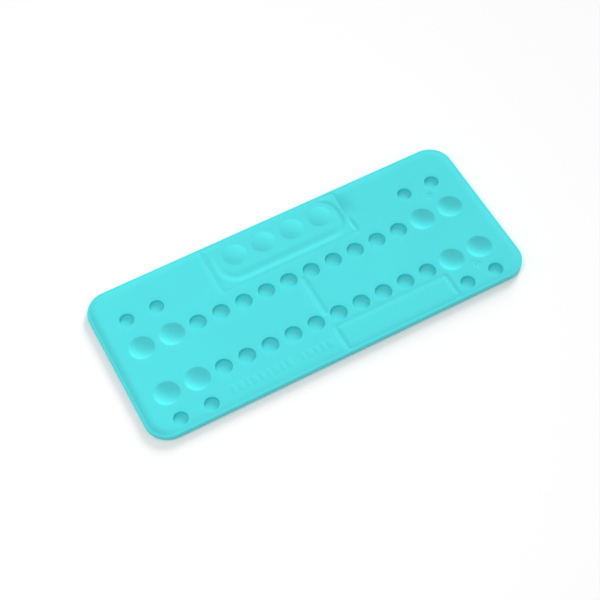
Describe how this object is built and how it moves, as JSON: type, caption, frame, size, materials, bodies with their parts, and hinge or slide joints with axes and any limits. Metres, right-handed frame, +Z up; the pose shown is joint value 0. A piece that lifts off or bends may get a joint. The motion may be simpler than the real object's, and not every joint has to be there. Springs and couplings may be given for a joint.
{
  "type": "orthodontic bracket set-up tray",
  "caption": "Flat rectangular tray with rows of round wells, a lift-out block with a sunk pad of four low domes at the back edge and a flush write-on plate.",
  "frame": {"origin": "on the underside, below the middle of the tray", "axes": "+X along the tray's length, +Y to the long edge with the domed pad block, +Z up out of the wells"},
  "size_m": [0.16, 0.07, 0.0029],
  "materials": {
    "tray_plastic": "satin moulded turquoise plastic",
    "block_plastic": "satin moulded turquoise plastic",
    "label_plastic": "smooth satin turquoise plastic"
  },
  "bodies": {
    "tray": {"tray_body": "tray_plastic", "label_plate": "label_plastic"},
    "pad_block": {"domed_pad_block": "block_plastic"}
  },
  "joints": [
    {"name": "pad_block_lift", "type": "slide", "parent": "tray", "child": "pad_block", "axis": [0, 0, 1], "range_m": [0, 0.012]}
  ]
}
